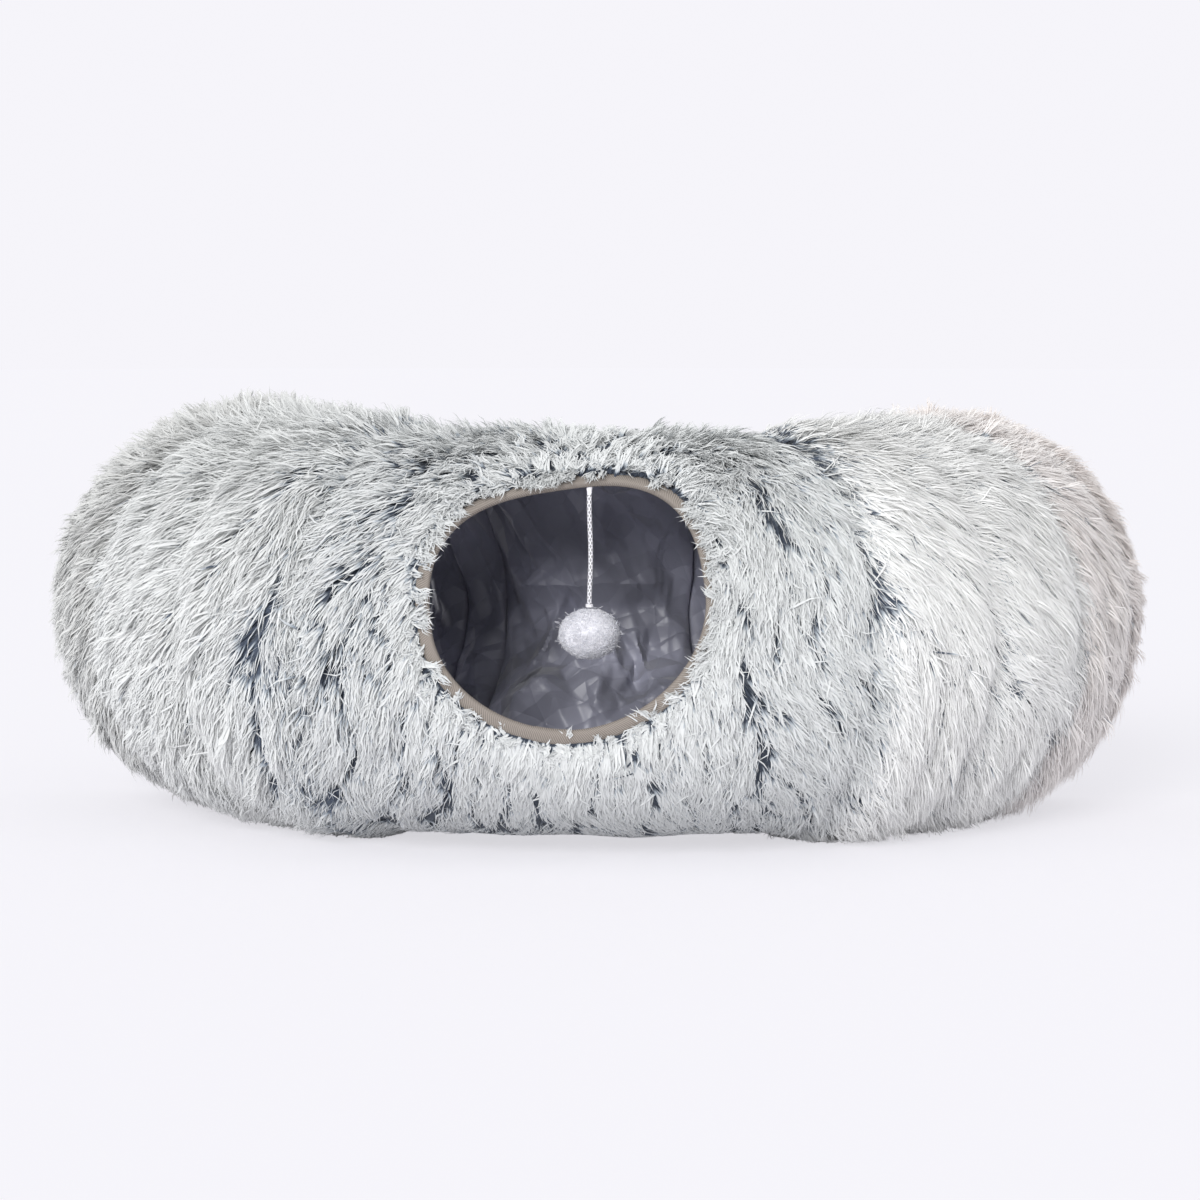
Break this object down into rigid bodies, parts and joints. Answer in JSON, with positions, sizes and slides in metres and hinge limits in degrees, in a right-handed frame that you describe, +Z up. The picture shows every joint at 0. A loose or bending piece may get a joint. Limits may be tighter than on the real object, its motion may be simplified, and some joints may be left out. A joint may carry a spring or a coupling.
{
  "type": "cat tunnel",
  "caption": "Half-moon plush cat tunnel on wire hoops, open at both ends, with a bound oval peephole in front and a pompom that hangs in it on a cord.",
  "frame": {"origin": "middle of the flat strip under the middle bay, where the tunnel rests on the floor", "axes": "+X along the tunnel's length, to the right seen from the front; +Y from the peephole towards the side that both end openings face; +Z up"},
  "size_m": [0.7915, 0.388, 0.287],
  "materials": {
    "plush": "long grey-white pile with darker roots",
    "slate_lining": "thin polyester with a slight sheen",
    "spring_steel": "bright drawn wire",
    "crimped_steel": "satin",
    "woven_tape": "matte woven tape",
    "beige_binding": "matte twill tape",
    "white_cord": "braided polyester",
    "white_pompom": "dense soft pile"
  },
  "bodies": {
    "middle": {"plush_mid": "plush", "lining_mid": "slate_lining", "hoop_left_0": "spring_steel", "ferrule_left_0": "crimped_steel", "seam_tape_left_0": "woven_tape", "hoop_right_0": "spring_steel", "ferrule_right_0": "crimped_steel", "seam_tape_right_0": "woven_tape", "peephole_binding": "beige_binding", "peephole_wire": "spring_steel", "peephole_ferrule": "crimped_steel"},
    "left_bay_1": {"plush_left_1": "plush", "lining_left_1": "slate_lining", "hoop_left_1": "spring_steel", "ferrule_left_1": "crimped_steel", "seam_tape_left_1": "woven_tape"},
    "left_bay_2": {"plush_left_2": "plush", "lining_left_2": "slate_lining", "hoop_left_2": "spring_steel", "ferrule_left_2": "crimped_steel", "seam_tape_left_2": "woven_tape"},
    "left_bay_3": {"plush_left_3": "plush", "lining_left_3": "slate_lining", "hoop_left_3": "spring_steel", "ferrule_left_3": "crimped_steel", "seam_tape_left_3": "woven_tape"},
    "left_bay_4": {"plush_left_4": "plush", "lining_left_4": "slate_lining", "hoop_left_4": "spring_steel", "ferrule_left_4": "crimped_steel", "end_binding_left": "beige_binding"},
    "right_bay_1": {"plush_right_1": "plush", "lining_right_1": "slate_lining", "hoop_right_1": "spring_steel", "ferrule_right_1": "crimped_steel", "seam_tape_right_1": "woven_tape"},
    "right_bay_2": {"plush_right_2": "plush", "lining_right_2": "slate_lining", "hoop_right_2": "spring_steel", "ferrule_right_2": "crimped_steel", "seam_tape_right_2": "woven_tape"},
    "right_bay_3": {"plush_right_3": "plush", "lining_right_3": "slate_lining", "hoop_right_3": "spring_steel", "ferrule_right_3": "crimped_steel", "seam_tape_right_3": "woven_tape"},
    "right_bay_4": {"plush_right_4": "plush", "lining_right_4": "slate_lining", "hoop_right_4": "spring_steel", "ferrule_right_4": "crimped_steel", "end_binding_right": "beige_binding"},
    "cord_top": {"cord_knot": "white_cord"},
    "hanging_ball": {"ball_cord": "white_cord", "pompom_tie": "white_cord", "pompom": "white_pompom"}
  },
  "joints": [
    {"name": "fold_left_1", "type": "hinge", "parent": "middle", "child": "left_bay_1", "pos_m": [0, 0.25, 0], "axis": [0, 0, 1], "range_deg": [0, 8], "deforming": ["plush_left_1", "lining_left_1"]},
    {"name": "fold_left_2", "type": "hinge", "parent": "left_bay_1", "child": "left_bay_2", "pos_m": [0, 0.25, 0], "axis": [0, 0, 1], "range_deg": [0, 8], "deforming": ["plush_left_2", "lining_left_2"]},
    {"name": "fold_left_3", "type": "hinge", "parent": "left_bay_2", "child": "left_bay_3", "pos_m": [0, 0.25, 0], "axis": [0, 0, 1], "range_deg": [0, 8], "deforming": ["plush_left_3", "lining_left_3"]},
    {"name": "fold_left_4", "type": "hinge", "parent": "left_bay_3", "child": "left_bay_4", "pos_m": [0, 0.25, 0], "axis": [0, 0, 1], "range_deg": [0, 8], "deforming": ["plush_left_4", "lining_left_4"]},
    {"name": "fold_right_1", "type": "hinge", "parent": "middle", "child": "right_bay_1", "pos_m": [0, 0.25, 0], "axis": [0, 0, -1], "range_deg": [0, 8], "deforming": ["plush_right_1", "lining_right_1"]},
    {"name": "fold_right_2", "type": "hinge", "parent": "right_bay_1", "child": "right_bay_2", "pos_m": [0, 0.25, 0], "axis": [0, 0, -1], "range_deg": [0, 8], "deforming": ["plush_right_2", "lining_right_2"]},
    {"name": "fold_right_3", "type": "hinge", "parent": "right_bay_2", "child": "right_bay_3", "pos_m": [0, 0.25, 0], "axis": [0, 0, -1], "range_deg": [0, 8], "deforming": ["plush_right_3", "lining_right_3"]},
    {"name": "fold_right_4", "type": "hinge", "parent": "right_bay_3", "child": "right_bay_4", "pos_m": [0, 0.25, 0], "axis": [0, 0, -1], "range_deg": [0, 8], "deforming": ["plush_right_4", "lining_right_4"]},
    {"name": "ball_side", "type": "hinge", "parent": "middle", "child": "cord_top", "pos_m": [0.012, -0.06487, 0.24048], "axis": [0, 1, 0], "range_deg": [-35, 45]},
    {"name": "ball_front", "type": "hinge", "parent": "cord_top", "child": "hanging_ball", "pos_m": [0.012, -0.06487, 0.24048], "axis": [1, 0, 0], "range_deg": [-70, 70]}
  ],
  "couplings": [
    {"joint": "fold_left_2", "follows": "fold_left_1", "ratio": 1},
    {"joint": "fold_left_3", "follows": "fold_left_1", "ratio": 1},
    {"joint": "fold_left_4", "follows": "fold_left_1", "ratio": 1},
    {"joint": "fold_right_2", "follows": "fold_right_1", "ratio": 1},
    {"joint": "fold_right_3", "follows": "fold_right_1", "ratio": 1},
    {"joint": "fold_right_4", "follows": "fold_right_1", "ratio": 1}
  ]
}
